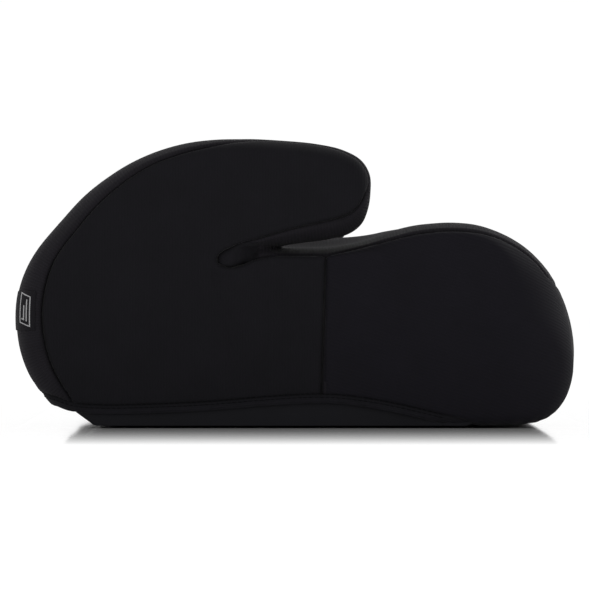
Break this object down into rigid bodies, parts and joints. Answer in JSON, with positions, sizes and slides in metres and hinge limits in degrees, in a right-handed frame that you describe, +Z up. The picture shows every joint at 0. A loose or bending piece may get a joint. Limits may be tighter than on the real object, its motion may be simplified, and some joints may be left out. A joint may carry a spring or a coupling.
{
  "type": "backless child booster seat",
  "caption": "Low backless booster seat with forward-curving padded armrests, lap belt slots beneath them, a raised thigh roll and a fitted fabric cover over a plastic base.",
  "frame": {"origin": "on the surface the seat stands on, below the middle of the bounding box", "axes": "+X to the front of the seat, +Y to the child's left, +Z up"},
  "size_m": [0.415, 0.4, 0.2065],
  "materials": {
    "side_knit": "matt black fine-ribbed knit on foam backing",
    "ribbed_knit": "charcoal cross-ribbed knit with a soft sheen",
    "elastic": "black woven elastic binding",
    "label_satin": "woven satin label with a silver border",
    "foam": "grey open-cell polyurethane foam",
    "base_plastic": "fine moulded texture, black polypropylene",
    "shell_plastic": "moulded black polypropylene",
    "rivet_plastic": "smooth black nylon",
    "pad_rubber": "matt thermoplastic rubber",
    "steel": "zinc-plated steel"
  },
  "bodies": {
    "root": {"base_tray": "base_plastic", "seat_shell": "shell_plastic", "armrest_inner_shell_left": "shell_plastic", "armrest_inner_shell_right": "shell_plastic", "armrest_outer_shell_left": "shell_plastic", "armrest_outer_shell_right": "shell_plastic", "armrest_screws": "steel", "armrest_bolts": "steel", "base_screws": "steel", "anti_slip_pads": "pad_rubber", "cover_rivets": "rivet_plastic", "seat_foam": "foam", "armrest_foam_left": "foam", "armrest_foam_right": "foam", "cover_seat_top": "ribbed_knit", "cover_armrest_band_left": "ribbed_knit", "cover_armrest_band_right": "ribbed_knit", "cover_side_left": "side_knit", "cover_side_right": "side_knit", "cover_front_wrap": "side_knit", "cover_back": "side_knit", "cover_armrest_inner_left": "side_knit", "cover_armrest_inner_right": "side_knit", "slot_gusset_left": "side_knit", "slot_gusset_right": "side_knit", "hem_elastic": "elastic", "label": "label_satin"}
  },
  "joints": []
}
